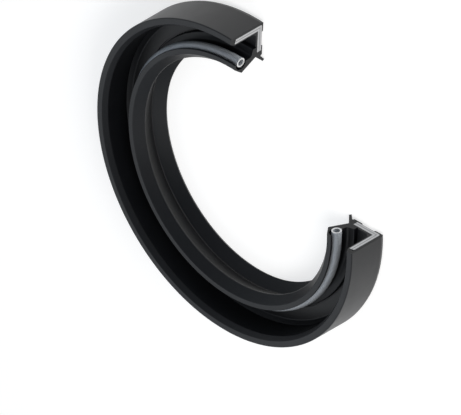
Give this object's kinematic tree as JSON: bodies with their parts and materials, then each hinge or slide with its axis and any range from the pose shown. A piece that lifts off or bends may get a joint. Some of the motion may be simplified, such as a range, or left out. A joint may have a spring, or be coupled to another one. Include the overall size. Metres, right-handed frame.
{
  "type": "oil seal",
  "caption": "Rubber-covered rotary shaft seal with a dust lip, sectioned to show its L-shaped steel case and the garter spring behind the sealing lip.",
  "frame": {"origin": "on the seal's axis, in the plane that the tip of the dust lip stands on; the back face of the rubber is 0.65 mm above it", "axes": "+Z along the shaft axis towards the oil side, where the spring shows; +X and +Y span the quarter that is cut away"},
  "size_m": [0.062, 0.062, 0.0085],
  "materials": {
    "rubber": "satin moulded nitrile rubber",
    "case_steel": "plain cold-rolled sheet, bare at the cut faces and on the back",
    "spring_steel": "drawn spring wire, close-wound"
  },
  "bodies": {
    "root": {"rubber_body": "rubber", "steel_case": "case_steel", "garter_spring": "spring_steel"}
  },
  "joints": []
}
